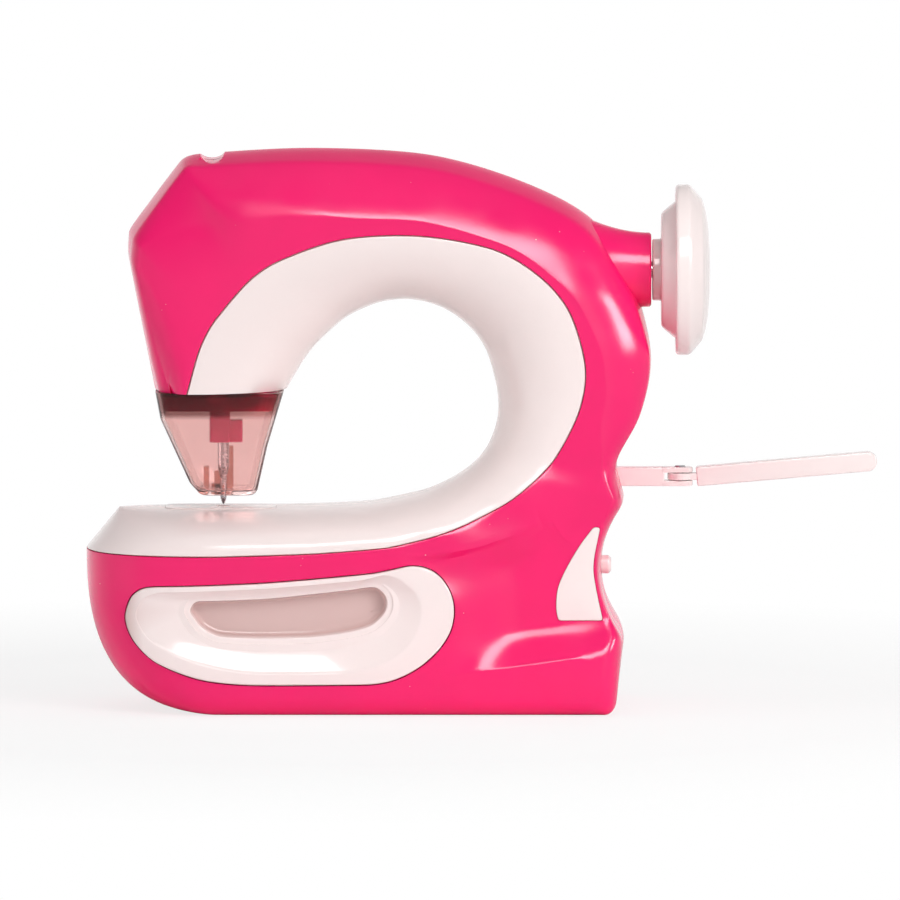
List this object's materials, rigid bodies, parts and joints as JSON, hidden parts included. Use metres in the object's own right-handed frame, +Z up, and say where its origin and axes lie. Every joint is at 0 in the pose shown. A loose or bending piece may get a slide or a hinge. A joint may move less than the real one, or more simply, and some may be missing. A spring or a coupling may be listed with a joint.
{
  "type": "toy sewing machine",
  "caption": "Toy sewing machine with a two-tone clamshell housing round an open throat, a handwheel, a guarded needle, a pull-out drawer, a push button and a folding spool arm.",
  "frame": {"origin": "on the table under the middle of the base, in the split plane of the housing", "axes": "+X towards the handwheel, -Y towards the front with the drawer, +Z up"},
  "size_m": [0.2878, 0.088, 0.2034],
  "materials": {
    "magenta": "glossy moulded plastic",
    "pale": "satin moulded plastic",
    "smoke": "clear smoked plastic",
    "steel": "bright turned steel",
    "brass": "turned brass",
    "nylon": "natural nylon",
    "rubber": "matt black rubber",
    "cell": "printed sleeve, left plain"
  },
  "bodies": {
    "housing": {"front_throat_panel": "pale", "rear_throat_panel": "pale", "front_fin": "pale", "rear_fin": "pale", "needle_plate": "pale", "arm_bracket": "pale", "front_shell": "magenta", "rear_shell": "magenta", "base_plate": "magenta", "battery_door": "magenta", "head_plate": "magenta", "neck_collar": "magenta", "drawer_rails": "magenta", "door_screw": "steel", "mech_frame": "steel", "frame_screws": "steel", "looper_bracket": "steel", "arm_pin": "steel", "case_screws": "steel", "battery_contacts": "steel", "motor": "steel", "main_bushes": "brass", "lower_bushes": "brass", "battery_box": "nylon", "motor_mount": "nylon", "drive_belt": "rubber", "switch": "rubber", "needle_guard": "smoke", "batteries": "cell"},
    "drive": {"handwheel": "pale", "main_shaft": "steel", "crank_disc": "steel", "main_gear": "nylon", "upper_pulley": "nylon"},
    "needle_slide": {"needle_bar": "steel", "needle_yoke": "nylon", "needle_clamp": "magenta", "clamp_screw": "steel", "needle": "steel"},
    "rotor": {"motor_pinion": "brass"},
    "lower_drive": {"lower_shaft": "steel", "looper": "steel", "lower_pulley": "nylon"},
    "drawer": {"drawer_front": "pale", "drawer_tray": "pale"},
    "button": {"power_button": "pale"},
    "spool_holder": {"spool_arm": "pale"}
  },
  "joints": [
    {"name": "handwheel_turn", "type": "hinge", "parent": "housing", "child": "drive", "pos_m": [0, 0, 0.159], "axis": [1, 0, 0], "continuous": true},
    {"name": "needle_stroke", "type": "slide", "parent": "housing", "child": "needle_slide", "axis": [0, 0, 1], "range_m": [0, 0.014]},
    {"name": "motor_turn", "type": "hinge", "parent": "housing", "child": "rotor", "pos_m": [0, 0, 0.1398], "axis": [1, 0, 0], "continuous": true},
    {"name": "lower_turn", "type": "hinge", "parent": "housing", "child": "lower_drive", "pos_m": [0, 0, 0.0616], "axis": [1, 0, 0], "continuous": true},
    {"name": "drawer_pull", "type": "slide", "parent": "housing", "child": "drawer", "axis": [0, -1, 0], "range_m": [0, 0.048]},
    {"name": "button_press", "type": "slide", "parent": "housing", "child": "button", "axis": [-1, 0, 0], "range_m": [0, 0.002], "stiffness_N_per_m": 400, "springref_m": -0.001},
    {"name": "spool_arm_swing", "type": "hinge", "parent": "housing", "child": "spool_holder", "pos_m": [0.118, 0.0135, 0.0825], "axis": [0, 0, 1], "range_deg": [0, 100]}
  ],
  "couplings": [
    {"joint": "motor_turn", "follows": "handwheel_turn", "ratio": -3},
    {"joint": "lower_turn", "follows": "handwheel_turn", "ratio": 1}
  ]
}
